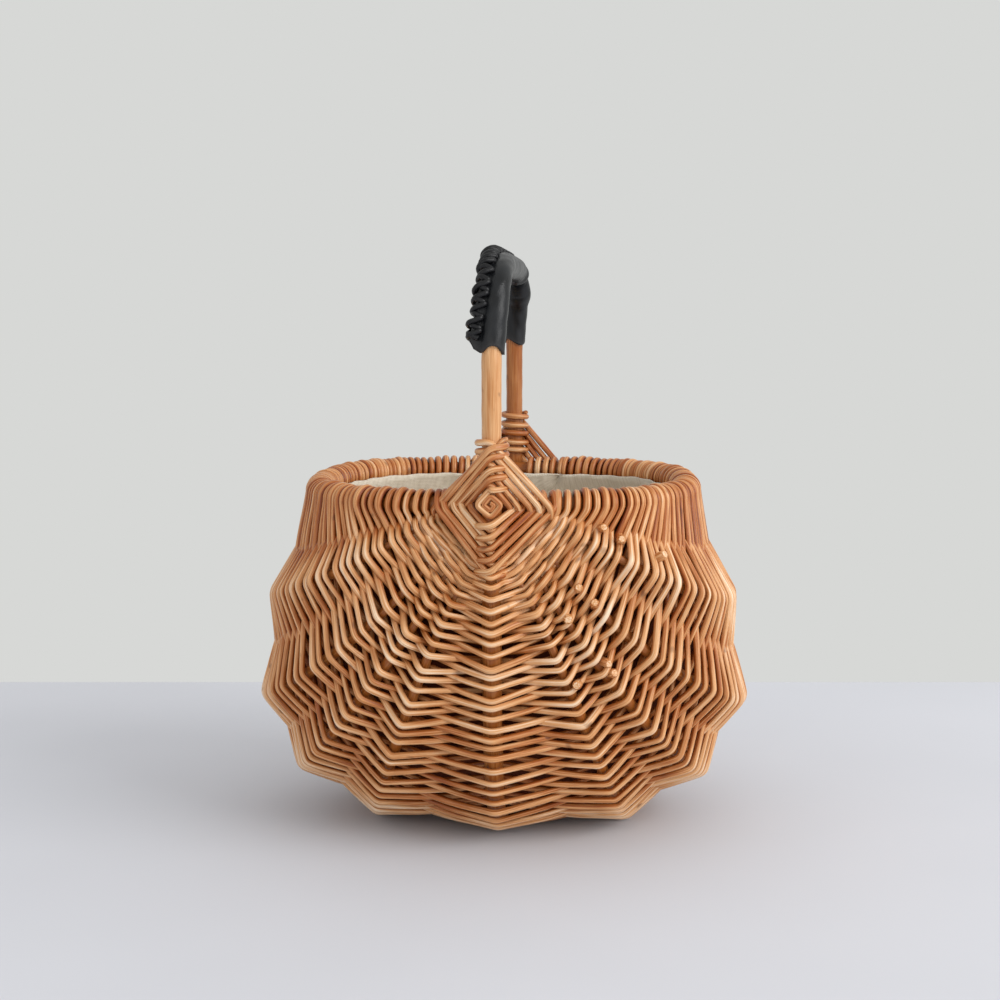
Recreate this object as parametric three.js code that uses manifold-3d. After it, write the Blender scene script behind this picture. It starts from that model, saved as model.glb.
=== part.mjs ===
// A small frame basket with a fixed hoop handle, in millimetres, +Z up.
// Two hoops cross at the front and the rear, where a diamond lashing binds them. Eight ribs run from
// lashing to lashing below the rim, and weavers pass over and under ribs and hoops from rim to rim.
// A cloth bag lines the inside, and a laced leather sleeve covers the top of the handle.
// The origin is on the table, under the middle of the basket. The front lashing faces -Y.
import * as THREE from "three";
import { mergeVertices } from "three/addons/utils/BufferGeometryUtils.js";
import Module from "manifold-3d";

// Hoops: places are those of the rod centres, squareness is a superellipse exponent
const rimHeight = 205;
const rimHalfWidth = 111;
const rimSquareness = 2.6;
const rimRodRadius = 5;
const handleHalfDepth = 116;
const handleTop = 339;
const handleSquareness = 7;
const keelSquareness = 3.4;
const hoopRodRadius = 5.5;

// Weave: each weaver is a flat band that stands for a few neighbouring rods of the real weave
const weaverCount = 37;
const weaverThickness = 2.8;
const weaverGap = 1;
const weaveClearance = 0.6;
const weaveMargin = 4;
const footCut = 0.5;

// Ribs, numbered from the keel up to the rim: how far out and how high each rib's centre passes
// the middle of the basket. bow and depth are superellipse exponents of its ways outwards and back.
const firstRibReach = 76;
const secondRibReach = 120.5;
const secondRibHeight = 36;
const thirdRibReach = 142;
const thirdRibHeight = 79;
const fourthRibReach = 135;
const fourthRibHeight = 141;
const ribRadius = 3.4;
const ribTipRadius = 1.4;
const ribTaper = 100;
const firstRibRise = 0.9;
const keelHeight = hoopRodRadius + weaveClearance + weaverThickness - footCut;
const firstRibHeight = keelHeight - hoopRodRadius + ribRadius + firstRibRise;
const ribPlaces = [
  { reach: firstRibReach, height: firstRibHeight, bow: 3.2, depth: 2 },
  { reach: secondRibReach, height: secondRibHeight, bow: 2.3, depth: 2.3 },
  { reach: thirdRibReach, height: thirdRibHeight, bow: 2, depth: 2.4 },
  { reach: fourthRibReach, height: fourthRibHeight, bow: 2.6, depth: 2.5 },
];
const ribDropSquareness = 2.6;

// Lashings: a rod wound over the four arms of the crossing in turn, from the middle outwards
const lashingLoops = 6;
const lashingRodRadius = 1.5;
const lashingGap = 0.55;

// Lining, leather sleeve and lace
const liningThickness = 1.6;
const liningGap = 1.2;
const sleeveEndHeight = 292;
const sleeveWall = 1.8;
const seamReach = 4.5;
const seamThickness = 3.2;
const laceRadius = 1.2;
const laceStitches = 30;
const laceSlant = 0.4;

const clearance = 0.35;

// Finishes
const willow = { color: 0xb98248, roughness: 0.55 };
const peeledRod = { color: 0xc48f52, roughness: 0.45 };
const linen = { color: 0xc9c3b2, roughness: 0.95 };
const blackLeather = { color: 0x1d1e21, roughness: 0.5 };
const blackLace = { color: 0x141416, roughness: 0.45 };

// Facets
const rodSides = 8;
const ribSides = 6;
const woundSides = 5;
const turnSteps = 8;
const hookSteps = 4;
const keelSteps = 44;
const archSteps = 40;
const rimSideSteps = 34;
const ribSteps = 30;
const liningRows = 14;
const sleeveArcSteps = 11;
const lengthSamples = 20;
const sameCorner = 1e-4;

const { lerp } = THREE.MathUtils;
const wasm = await Module();
wasm.setup();

const basket = new THREE.Group();

function addPiece(name, geometry, finish) {
  const material = new THREE.MeshStandardMaterial({ ...finish, metalness: 0 });
  const piece = new THREE.Mesh(geometry, material);
  piece.name = name;
  basket.add(piece);
}

// Closed bodies from rings of points

// A body through rings of equally many points. An endless one joins its last ring to its first.
function loft(rings, endless = false) {
  const sides = rings[0].length;
  const corners = rings.flat();
  const at = (ring, side) => (ring % rings.length) * sides + (side % sides);
  const faces = [];
  const spans = endless ? rings.length : rings.length - 1;
  for (let ring = 0; ring < spans; ring++)
    for (let side = 0; side < sides; side++) {
      faces.push(at(ring, side), at(ring + 1, side), at(ring + 1, side + 1));
      faces.push(at(ring, side), at(ring + 1, side + 1), at(ring, side + 1));
    }
  if (!endless) {
    for (let low = 0, high = sides - 1; high - low > 1; low++, high--) {
      for (const [ring, flip] of [[0, false], [rings.length - 1, true]]) {
        const strip = [at(ring, low), at(ring, low + 1), at(ring, high)];
        if (high - low > 2) strip.push(at(ring, low + 1), at(ring, high - 1), at(ring, high));
        faces.push(...(flip ? strip.reverse() : strip));
      }
    }
  }
  let volume = 0;
  for (let i = 0; i < faces.length; i += 3) {
    const [a, b, c] = [corners[faces[i]], corners[faces[i + 1]], corners[faces[i + 2]]];
    volume += a.dot(b.clone().cross(c));
  }
  if (volume < 0) faces.reverse();
  return new THREE.BufferGeometry().setFromPoints(corners).setIndex(faces);
}

// The directions of a section at each point of a line, carried along it without twist
function frames(line, start) {
  const across = start.clone();
  return line.map((point, i) => {
    const before = line[Math.max(i - 1, 0)];
    const after = line[Math.min(i + 1, line.length - 1)];
    const along = after.clone().sub(before).normalize();
    across.addScaledVector(along, -across.dot(along)).normalize();
    return { point, across: across.clone(), other: along.clone().cross(across) };
  });
}

const onSection = ({ point, across, other }, u, v) =>
  point.clone().addScaledVector(across, u).addScaledVector(other, v);

const circle = (radius, sides) =>
  Array.from({ length: sides }, (_, side) => {
    const turn = (2 * Math.PI * (side + 0.5)) / sides;
    return [radius * Math.cos(turn), radius * Math.sin(turn)];
  });

function rod(line, radiusAt, sides, start) {
  const rings = frames(line, start).map((frame, i) =>
    circle(radiusAt(i), sides).map(([u, v]) => onSection(frame, u, v)),
  );
  return loft(rings);
}

const lengthOf = (line) =>
  line.reduce((sum, point, i) => (i ? sum + point.distanceTo(line[i - 1]) : 0), 0);

// The point of a line at a length from its start
function pointAt(line, length) {
  let left = length;
  for (let i = 1; i < line.length; i++) {
    const span = line[i].distanceTo(line[i - 1]);
    if (left <= span || i === line.length - 1)
      return line[i - 1].clone().lerp(line[i], left / span);
    left -= span;
  }
  return line[0].clone();
}

// The least gap between stretches of a wound rod that are apart along it
function leastGap(line, radius) {
  const samplesPerRadius = 2;
  const radiiApart = 6;
  const spacing = radius / samplesPerRadius;
  const count = Math.ceil(lengthOf(line) / spacing);
  const points = Array.from({ length: count + 1 }, (_, i) => pointAt(line, i * spacing));
  const apart = radiiApart * samplesPerRadius;
  let least = Infinity;
  for (let i = 0; i < points.length; i++)
    for (let j = i + apart; j < points.length; j++)
      least = Math.min(least, points[i].distanceTo(points[j]));
  return least - 2 * radius;
}

// The frame: lines of the rods' centres

const power = (value, exponent) => Math.sign(value) * Math.abs(value) ** exponent;

// A rod's way from the front to the rear, in steps of equal length
function rodLine(place, steps) {
  const curve = new THREE.Curve();
  curve.arcLengthDivisions = lengthSamples * steps;
  curve.getPoint = (share) => place(Math.cos(Math.PI * share), Math.sin(Math.PI * share));
  return curve.getSpacedPoints(steps);
}

const rimHalfDepth = handleHalfDepth - hoopRodRadius - rimRodRadius - clearance;

const keelLine = rodLine((c, s) => {
  const y = -handleHalfDepth * power(c, 2 / keelSquareness);
  const z = rimHeight - (rimHeight - keelHeight) * power(s, 2 / keelSquareness);
  return new THREE.Vector3(0, y, z);
}, keelSteps);

const archLine = rodLine((c, s) => {
  const y = -handleHalfDepth * power(c, 2 / handleSquareness);
  const z = rimHeight + (handleTop - rimHeight) * power(s, 2 / handleSquareness);
  return new THREE.Vector3(0, y, z);
}, archSteps);

const rimLine = (side) =>
  rodLine((c, s) => {
    const x = side * rimHalfWidth * power(s, 2 / rimSquareness);
    const y = -rimHalfDepth * power(c, 2 / rimSquareness);
    return new THREE.Vector3(x, y, rimHeight);
  }, rimSideSteps);

// The lashing's strands run aslant from arm to arm, so they lie further apart along the arms.
// Round an arm they are straight chords, which clear the arm at their middles.
const lashingTurn = (2 * lashingRodRadius + lashingGap) * Math.SQRT2;
const lashingStart = hoopRodRadius + 2 * lashingRodRadius;
const lashingReach = lashingStart + lashingLoops * lashingTurn;
const chord = Math.cos(Math.PI / turnSteps);
const strandHeight = (armRadius) => (armRadius + lashingRodRadius + clearance) / chord;

// Rib tips sit side by side along the lower edge of the lashing, clear of its windings
const keelSideTip = hoopRodRadius + 2 * lashingRodRadius + ribTipRadius + weaverThickness;
const rimSideTip = rimRodRadius + 2 * lashingRodRadius + ribTipRadius + weaverThickness;

function ribLine(order, side) {
  const { reach, height, bow, depth } = ribPlaces[order];
  const share = order / (ribPlaces.length - 1);
  const tipX = lerp(keelSideTip, lashingReach, share);
  const tipDepth = lerp(handleHalfDepth, rimHalfDepth, (order + 1) / (ribPlaces.length + 1));
  const tipZ = rimHeight - lerp(lashingReach, rimSideTip, share);
  return rodLine((c, s) => {
    const x = side * (tipX + (reach - tipX) * power(s, 2 / bow));
    const y = -tipDepth * power(c, 2 / depth);
    return new THREE.Vector3(x, y, tipZ + (height - tipZ) * power(s, 2 / ribDropSquareness));
  }, ribSteps);
}

const ribRadiusAt = (fromTip) => lerp(ribTipRadius, ribRadius, Math.min(fromTip / ribTaper, 1));

// The weave

// The rods that a weaver crosses, from the left rim to the right rim, each over its woven stretch
function wovenRod(line, start, radiusAt) {
  const length = lengthOf(line);
  const along = (share) => start + share * (length - 2 * start);
  return {
    at: (share) => pointAt(line, along(share)),
    radiusAt: (share) => radiusAt(Math.min(along(share), length - along(share))),
  };
}

const hoopStart = lashingReach + weaveMargin;
const sideRods = (side) => [
  ...ribPlaces.map((_, order) => wovenRod(ribLine(order, side), weaveMargin, ribRadiusAt)),
  wovenRod(rimLine(side), hoopStart, () => rimRodRadius),
];
const wovenKeel = wovenRod(keelLine, hoopStart, () => hoopRodRadius);
const rods = [...sideRods(-1).reverse(), wovenKeel, ...sideRods(1)];
const lastRod = rods.length - 1;
const insidePoint = new THREE.Vector3(0, 0, (rimHeight + keelHeight) / 2);

// Where a line of the weave crosses the rods: centres, and the directions along each rod and outwards.
// The outward directions are evened out so that they don't lean along the rods from one to the next.
function crossings(share) {
  const centres = rods.map((crossed) => crossed.at(share));
  const near = 0.01;
  const line = centres.map((centre, i) => {
    const across = centres[Math.min(i + 1, lastRod)].clone().sub(centres[Math.max(i - 1, 0)]);
    const behind = rods[i].at(Math.max(share - near, 0));
    const along = rods[i].at(Math.min(share + near, 1)).sub(behind).normalize();
    const out = across.cross(along).normalize();
    if (out.dot(centre.clone().sub(insidePoint)) < 0) out.negate();
    return { centre, out, along, radius: rods[i].radiusAt(share) };
  });
  const eveningPasses = 12;
  for (let pass = 0; pass < eveningPasses; pass++)
    for (let i = 1; i < lastRod; i++) {
      const leans = [line[i - 1], line[i + 1]].map(({ out, along }) => {
        const between = along.clone().add(line[i].along).normalize();
        return out.clone().sub(line[i].out).dot(between);
      });
      line[i].out.addScaledVector(line[i].along, (leans[0] + leans[1]) / 2).normalize();
    }
  return line;
}

const seat = weaveClearance + weaverThickness / 2;

// How far a weaver's middle stands from each rod's centre so that its straight spans clear the rod
function standOffs(line, outside) {
  const offs = line.map(({ radius }) => radius + seat);
  const middle = (i) => line[i].centre.clone().addScaledVector(line[i].out, outside(i) * offs[i]);
  const settlingPasses = 6;
  for (let pass = 0; pass < settlingPasses; pass++)
    for (let i = 1; i < lastRod; i++) {
      const here = middle(i);
      const clear = [i - 1, i + 1].map((next) => {
        const between = middle(next).sub(here).cross(line[i].along).normalize();
        return Math.abs(between.dot(line[i].out)) * offs[i];
      });
      offs[i] *= Math.max((line[i].radius + seat) / Math.min(...clear), 1);
    }
  return offs;
}

const sideOf = (i, row) => ((i + row) % 2 === 0 ? 1 : -1);

// One edge of a weaver from rim to rim, hooked over both rims: points with their depth directions
function weaverLine(share, row) {
  const line = crossings(share);
  const offs = standOffs(line, (i) => sideOf(i, row));
  const passes = line.map(({ centre, out }, i) => {
    const point = centre.clone().addScaledVector(out, sideOf(i, row) * offs[i]);
    return { point, depth: out };
  });
  const hook = (i, next) => {
    const { centre, along, radius } = line[i];
    const face = sideOf(i, row);
    const out = line[i].out.clone().multiplyScalar(face);
    const up = out.clone().cross(along).normalize();
    if (up.dot(line[next].centre.clone().sub(centre)) > 0) up.negate();
    const from = passes[next].point.clone().sub(centre);
    const [fromOut, fromUp] = [from.dot(out), from.dot(up)];
    const touch = Math.atan2(fromUp, fromOut) + Math.acos((radius + seat) / Math.hypot(fromOut, fromUp));
    const step = (Math.PI - touch) / hookSteps;
    return Array.from({ length: hookSteps }, (_, corner) => {
      const turn = touch + (corner + 0.5) * step;
      const round = out.clone().multiplyScalar(Math.cos(turn)).addScaledVector(up, Math.sin(turn));
      const point = centre.clone().addScaledVector(round, (radius + seat) / Math.cos(step / 2));
      return { point, depth: round.multiplyScalar(face) };
    });
  };
  return [...hook(0, 1).reverse(), ...passes.slice(1, lastRod), ...hook(lastRod, lastRod - 1)];
}

function weaver(row) {
  const halfGap = weaverGap / 2 / lengthOf(rimLine(1));
  const low = weaverLine(row / weaverCount + halfGap, row);
  const high = weaverLine((row + 1) / weaverCount - halfGap, row);
  const rings = low.map((_, i) => {
    const [lowPair, highPair] = [low, high].map((edge) => {
      const { point, depth } = edge[i];
      const nextTo = [edge[i - 1], edge[i + 1]].filter(Boolean);
      const slopes = nextTo.map((next) => next.point.clone().sub(point).normalize().dot(depth));
      const slope = Math.max(...slopes.map(Math.abs));
      const half = weaverThickness / 2 / Math.sqrt(1 - slope * slope);
      return [half, -half].map((reach) => point.clone().addScaledVector(depth, reach));
    });
    return [...lowPair, ...highPair.reverse()];
  });
  return standFlat(loft(rings));
}

// A weaver that reaches below the table plane is cut flat on it, and is a foot of the basket
function standFlat(geometry) {
  geometry.computeBoundingBox();
  const { min, max } = geometry.boundingBox;
  if (min.z >= 0) return geometry;
  const slab = new THREE.BoxGeometry(2 * (max.x - min.x), 2 * (max.y - min.y), -2 * min.z);
  slab.translate((min.x + max.x) / 2, (min.y + max.y) / 2, min.z);
  return geometryOf(solidOf(geometry).subtract(solidOf(slab)));
}

function solidOf(geometry) {
  const bare = new THREE.BufferGeometry().setIndex(geometry.index);
  bare.setAttribute("position", geometry.getAttribute("position"));
  const merged = mergeVertices(bare, sameCorner);
  const vertProperties = merged.getAttribute("position").array;
  const triVerts = new Uint32Array(merged.index.array);
  return new wasm.Manifold(new wasm.Mesh({ numProp: 3, vertProperties, triVerts }));
}

function geometryOf(solid) {
  const mesh = solid.getMesh();
  const corners = new THREE.BufferAttribute(new Float32Array(mesh.vertProperties), 3);
  const faces = new THREE.BufferAttribute(new Uint32Array(mesh.triVerts), 1);
  return new THREE.BufferGeometry().setAttribute("position", corners).setIndex(faces);
}

for (let row = 0; row < weaverCount; row++)
  addPiece(`weaver_${String(row + 1).padStart(2, "0")}`, weaver(row), willow);

// Hoops and ribs

const xAxis = new THREE.Vector3(1, 0, 0);
const zAxis = new THREE.Vector3(0, 0, 1);
const skewed = new THREE.Vector3(0.3, 0.8, 0.5);

// The handle hoop is one rod, whose ends meet at the top of the arch, under the sleeve
function handleHoop() {
  const top = archSteps / 2;
  const line = [
    ...archLine.slice(top).map((point) => point.clone()),
    ...keelLine.slice(0, -1).reverse().map((point) => point.clone()),
    ...archLine.slice(1, top + 1).map((point) => point.clone()),
  ];
  line[0].y += clearance / 2;
  line[line.length - 1].y -= clearance / 2;
  return rod(line, () => hoopRodRadius, rodSides, xAxis);
}
addPiece("handle_hoop", handleHoop(), peeledRod);

// The rim hoop is one rod, whose ends meet under the front lashing
function rimHoop() {
  const line = [...rimLine(1), ...rimLine(-1).slice(0, -1).reverse()];
  line[0].x += clearance / 2;
  line[line.length - 1].x -= clearance / 2;
  return rod(line, () => rimRodRadius, rodSides, zAxis);
}
addPiece("rim_hoop", rimHoop(), peeledRod);

for (const [sideName, side] of [["left", -1], ["right", 1]])
  ribPlaces.forEach((_, order) => {
    const line = ribLine(order, side);
    const length = lengthOf(line);
    const radiusAt = (i) => ribRadiusAt((Math.min(i, ribSteps - i) / ribSteps) * length);
    addPiece(`rib_${sideName}_${order + 1}`, rod(line, radiusAt, ribSides, zAxis), peeledRod);
  });

// Lashings

// Each arm is crossed in three steps, and its strands lie one turn apart along it
function lashingLine(face) {
  const out = new THREE.Vector3(0, face, 0);
  const fromFace = (line) => (face < 0 ? line : [...line].reverse());
  const arms = [
    { line: fromFace(archLine), travel: xAxis, radius: hoopRodRadius },
    { line: fromFace(rimLine(1)), travel: zAxis.clone().negate(), radius: rimRodRadius },
    { line: fromFace(keelLine), travel: xAxis.clone().negate(), radius: hoopRodRadius },
    { line: fromFace(rimLine(-1)), travel: zAxis, radius: rimRodRadius },
  ];
  const points = [];
  for (let crossing = 0; crossing < arms.length * lashingLoops; crossing++) {
    const { line, travel, radius } = arms[crossing % arms.length];
    const place = lashingStart + (crossing / arms.length) * lashingTurn;
    for (const step of [-1, 0, 1]) {
      const turn = (2 * Math.PI * step) / turnSteps;
      const point = pointAt(line, place);
      point.addScaledVector(out, strandHeight(radius) * Math.cos(turn));
      points.push(point.addScaledVector(travel, strandHeight(radius) * Math.sin(turn)));
    }
  }
  const end = 2 * lashingRodRadius;
  points.unshift(points[0].clone().addScaledVector(arms[0].travel, -end));
  points.push(points[points.length - 1].clone().addScaledVector(arms[arms.length - 1].travel, end));
  return points;
}

for (const [faceName, face] of [["front", -1], ["rear", 1]]) {
  const line = lashingLine(face);
  const gap = leastGap(line, lashingRodRadius);
  console.log(`lashing_${faceName}: least gap to itself ${gap.toFixed(2)} mm`);
  addPiece(`lashing_${faceName}`, rod(line, () => lashingRodRadius, woundSides, skewed), willow);
}

// Lining: a cloth bag that follows the inside of the weave up to the rim

// How far the bag's outer face lies from a rod's centre, past a weaver that crosses the rod inside
const liningInset = (standOff) => standOff + weaverThickness / 2 + liningGap;
const rimInset = liningInset((rimRodRadius + seat) / chord);

function liningRing(share) {
  const line = crossings(share);
  const offs = [0, 1].map((row) => standOffs(line, (i) => sideOf(i, row)));
  const faces = [0, liningThickness].map((depth) =>
    line.map(({ centre, out }, i) => {
      const past = liningInset(Math.max(offs[0][i], offs[1][i]));
      const inset = i % lastRod ? past : Math.max(past, rimInset);
      return centre.clone().addScaledVector(out, -inset - depth);
    }),
  );
  return [...faces[0], ...faces[1].reverse()];
}

// The bag's front and rear walls close upwards behind the lashings
function liningEnd(face, nextRing) {
  return nextRing.map((point, i) => {
    const across = Math.abs(point.x / rimHalfWidth) ** rimSquareness;
    const depth = rimHalfDepth * (1 - across) ** (1 / rimSquareness) - rimInset;
    const inner = i >= rods.length;
    return new THREE.Vector3(point.x, face * (inner ? depth - liningThickness : depth), rimHeight);
  });
}

const innerRings = Array.from({ length: liningRows + 1 }, (_, row) => liningRing(row / liningRows));
const liningRings = [
  liningEnd(-1, innerRings[0]),
  ...innerRings,
  liningEnd(1, innerRings[liningRows]),
];
addPiece("lining", loft(liningRings), linen);

// Leather sleeve with a raised seam, and the lace over the seam

const sleeveRadius = hoopRodRadius + clearance + sleeveWall;
const seamTip = sleeveRadius + seamReach;
const seamHalf = seamThickness / 2;

// The covered stretch of the arch, with a section at each of its points
function sleeveFrames() {
  const covered = archLine.filter((point) => point.z > sleeveEndHeight);
  const level = (low, high) => low.clone().lerp(high, (sleeveEndHeight - low.z) / (high.z - low.z));
  const first = archLine.indexOf(covered[0]);
  const last = archLine.indexOf(covered[covered.length - 1]);
  const frontEnd = level(archLine[first - 1], archLine[first]);
  const rearEnd = level(archLine[last + 1], archLine[last]);
  return frames([frontEnd, ...covered, rearEnd], xAxis.clone().negate());
}

const sleeve = sleeveFrames();

function sleeveGeometry() {
  const foot = Math.asin(seamHalf / sleeveRadius);
  const outline = [[seamTip, seamHalf]];
  for (let step = 0; step <= sleeveArcSteps; step++) {
    const turn = foot + ((2 * Math.PI - 2 * foot) * step) / sleeveArcSteps;
    outline.push([sleeveRadius * Math.cos(turn), sleeveRadius * Math.sin(turn)]);
  }
  outline.push([seamTip, -seamHalf]);
  const bore = (hoopRodRadius + clearance) / Math.cos(Math.PI / sleeveArcSteps);
  const boreOutline = outline.map((corner) =>
    corner.map((value) => (value * bore) / Math.hypot(...corner)),
  );
  const outer = sleeve.map((frame) => outline.map(([u, v]) => onSection(frame, u, v)));
  const inner = sleeve.map((frame) => boreOutline.map(([u, v]) => onSection(frame, u, v)));
  return loft([...outer, ...inner.reverse()], true);
}
addPiece("grip_sleeve", sleeveGeometry(), blackLeather);

// One lace, to and fro over the seam's edge
function laceLine() {
  const beside = seamHalf + laceRadius + clearance;
  const over = seamTip + laceRadius + clearance;
  const low = Math.sqrt((sleeveRadius + laceRadius + clearance) ** 2 - beside ** 2) + clearance;
  const track = (u, v) => sleeve.map((frame) => onSection(frame, u, v));
  const points = [];
  for (let stitch = 0; stitch < laceStitches; stitch++) {
    const side = stitch % 2 ? -1 : 1;
    const from = (stitch + (1 - laceSlant) / 2) / laceStitches;
    const to = (stitch + (1 + laceSlant) / 2) / laceStitches;
    const stops = [[low, side, from], [over, side, from], [over, -side, to], [low, -side, to]];
    for (const [u, v, share] of stops) {
      const line = track(u, v * beside);
      points.push(pointAt(line, share * lengthOf(line)));
    }
  }
  return points;
}
const lace = laceLine();
console.log(`grip_lace: least gap to itself ${leastGap(lace, laceRadius).toFixed(2)} mm`);
addPiece("grip_lace", rod(lace, () => laceRadius, woundSides, skewed), blackLace);

export default basket;
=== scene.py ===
import math

import bpy
import numpy as np
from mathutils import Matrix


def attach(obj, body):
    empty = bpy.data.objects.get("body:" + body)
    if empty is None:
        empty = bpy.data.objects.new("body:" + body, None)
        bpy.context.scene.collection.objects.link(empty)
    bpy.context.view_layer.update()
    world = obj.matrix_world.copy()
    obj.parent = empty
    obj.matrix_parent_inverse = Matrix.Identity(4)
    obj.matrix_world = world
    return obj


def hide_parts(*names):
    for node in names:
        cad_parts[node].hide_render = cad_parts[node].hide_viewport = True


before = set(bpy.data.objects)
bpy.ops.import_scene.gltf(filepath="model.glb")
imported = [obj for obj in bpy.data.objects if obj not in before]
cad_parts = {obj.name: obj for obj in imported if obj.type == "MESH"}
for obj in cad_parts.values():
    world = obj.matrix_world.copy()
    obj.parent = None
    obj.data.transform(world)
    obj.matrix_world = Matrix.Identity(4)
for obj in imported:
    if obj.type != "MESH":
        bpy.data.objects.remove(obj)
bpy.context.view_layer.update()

# Handle hoop
# One thick peeled willow rod bent into an upright hoop: its upper half is the handle, its lower half
# the keel that the weave crosses. Scraped and oiled, it shows a fine long grain and a satin gloss.
MM = 0.001
RIM_HEIGHT = 205.0
HOOP_HALF_DEPTH = 116.0
HOOP_TOP = 339.0
KEEL_HEIGHT = 8.4
ARCH_SQUARENESS = 7.0
KEEL_SQUARENESS = 3.4
HOOP_RADIUS = 5.5
HOOP_UNEVEN = 0.18
HOOP_SIDES = 24
HANDLE_LEAN = 3.0
LEAN_FROM_HEIGHT = 285.0
LEAN_OVER = 50.0
# Tones of the rod, 0 to 1: the front leg pale, the rear leg dark brown, and the keel dark brown as painted
# shade, since it shows only in the gaps of the weave
FRONT_LEG_SHADE = 0.62
REAR_LEG_SHADE = 0.04
KEEL_PAINTED_SHADE = 0.04
SHADE_CHANGES_OVER = 120.0
X_AXIS = np.array([1.0, 0.0, 0.0])


def linear(hex_colour):
    """An sRGB hex colour as linear RGBA."""
    channels = [int(hex_colour[at:at + 2], 16) / 255 for at in (1, 3, 5)]
    return [c / 12.92 if c <= 0.04045 else ((c + 0.055) / 1.055) ** 2.4 for c in channels] + [1.0]


def set_inputs(tree, node, inputs):
    """Puts values, or links from other nodes, on a node's inputs."""
    for socket, value in inputs.items():
        if isinstance(value, bpy.types.NodeSocket):
            tree.links.new(value, node.inputs[socket])
        else:
            node.inputs[socket].default_value = value


def add_node(tree, kind, inputs, stops=(), **settings):
    """One node with its settings and inputs and, where it has colour stops, its (place, sRGB hex) stops."""
    made = tree.nodes.new(kind)
    for setting, value in settings.items():
        setattr(made, setting, value)
    set_inputs(tree, made, inputs)
    if stops:
        elements = made.color_ramp.elements
        while len(elements) < len(stops):
            elements.new(1.0)
        for element, (place, hex_colour) in zip(elements, stops):
            element.position = place
            element.color = linear(hex_colour)
    return made


def new_material(name):
    """A new material with its node tree and its shader."""
    material = bpy.data.materials.new(name)
    material.use_nodes = True
    return material, material.node_tree, material.node_tree.nodes["Principled BSDF"]


def peeled_willow(name, stops):
    """Peeled willow, scraped and oiled: streaks along the rod, slow blotches, rare dark knots, satin skin.

    Each mesh point holds its place in its rod in millimetres (across, across, along) as "grain", and as
    "shade", 0 to 1, its rod's own tone, with painted highlight on crests and painted shade in gaps and depths
    added on many pieces.
    """
    material, tree, skin = new_material(name)
    grain = add_node(tree, "ShaderNodeAttribute", {}, attribute_name="grain").outputs["Vector"]
    shade = add_node(tree, "ShaderNodeAttribute", {}, attribute_name="shade").outputs["Fac"]
    # Sizes in millimetres across, across and along the rod. The fibres, really about 0.1 mm wide, and the
    # streaks between them are drawn about three times as coarse, so that they show.
    patterns = (
        ("streak", (0.9, 0.9, 26), 3), ("fibre", (0.32, 0.32, 9), 2),
        ("blotch", (14, 14, 48), 2), ("knot", (7, 7, 11), 1),
    )
    fields = {}
    for field, size, detail in patterns:
        place = add_node(
            tree, "ShaderNodeVectorMath", {0: grain, 1: [1 / mm for mm in size]}, operation="MULTIPLY"
        )
        fields[field] = add_node(
            tree, "ShaderNodeTexNoise", {"Vector": place.outputs[0], "Scale": 1.0, "Detail": detail}
        ).outputs["Fac"]
    streaky, blotchy = 0.95, 0.6
    streaked = add_node(
        tree, "ShaderNodeMath", {0: fields["streak"], 1: streaky, 2: shade}, operation="MULTIPLY_ADD"
    )
    blotched = add_node(
        tree, "ShaderNodeMath", {0: fields["blotch"], 1: blotchy, 2: streaked.outputs[0]},
        operation="MULTIPLY_ADD",
    )
    centred = add_node(
        tree, "ShaderNodeMath", {0: blotched.outputs[0], 1: (streaky + blotchy) / 2}, operation="SUBTRACT"
    )
    colour = add_node(tree, "ShaderNodeValToRGB", {"Fac": centred.outputs[0]}, stops)
    knots = add_node(
        tree, "ShaderNodeMapRange",
        {"Value": fields["knot"], "From Min": 0.70, "From Max": 0.78, "To Min": 0.0, "To Max": 0.65},
    )
    darkened = add_node(
        tree, "ShaderNodeMix", {"Factor": knots.outputs[0], 6: colour.outputs[0], 7: linear("#5a2d12")},
        data_type="RGBA",
    )
    gloss = add_node(
        tree, "ShaderNodeMapRange",
        {"Value": fields["streak"], "From Min": 0.3, "From Max": 0.7, "To Min": 0.29, "To Max": 0.45},
    )
    relief = add_node(
        tree, "ShaderNodeMath", {0: fields["fibre"], 1: 0.5, 2: fields["streak"]}, operation="MULTIPLY_ADD"
    )
    bump = add_node(
        tree, "ShaderNodeBump", {"Height": relief.outputs[0], "Strength": 0.5, "Distance": 0.35 * MM}
    )
    set_inputs(tree, skin, {
        "Base Color": darkened.outputs[2], "Roughness": gloss.outputs[0], "Normal": bump.outputs[0],
        "IOR": 1.5, "Specular IOR Level": 0.32, "Coat Weight": 0.14, "Coat Roughness": 0.22,
    })
    return material


def power(value, exponent):
    return np.sign(value) * np.abs(value) ** exponent


def lengths_along(line):
    return np.concatenate([[0.0], np.cumsum(np.linalg.norm(np.diff(line, axis=0), axis=1))])


def point_at(line, length):
    """Points of a line at lengths from its start."""
    known = lengths_along(line)
    return np.stack([np.interp(length, known, line[:, axis]) for axis in range(3)], axis=-1)


def rod_line(place, steps):
    """A rod's way from the front to the rear, in steps of equal length."""
    turn = np.linspace(0.0, math.pi, 4001)
    fine = np.stack(np.broadcast_arrays(*place(np.cos(turn), np.sin(turn))), axis=1)
    return point_at(fine, np.linspace(0.0, lengths_along(fine)[-1], steps + 1))


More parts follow.
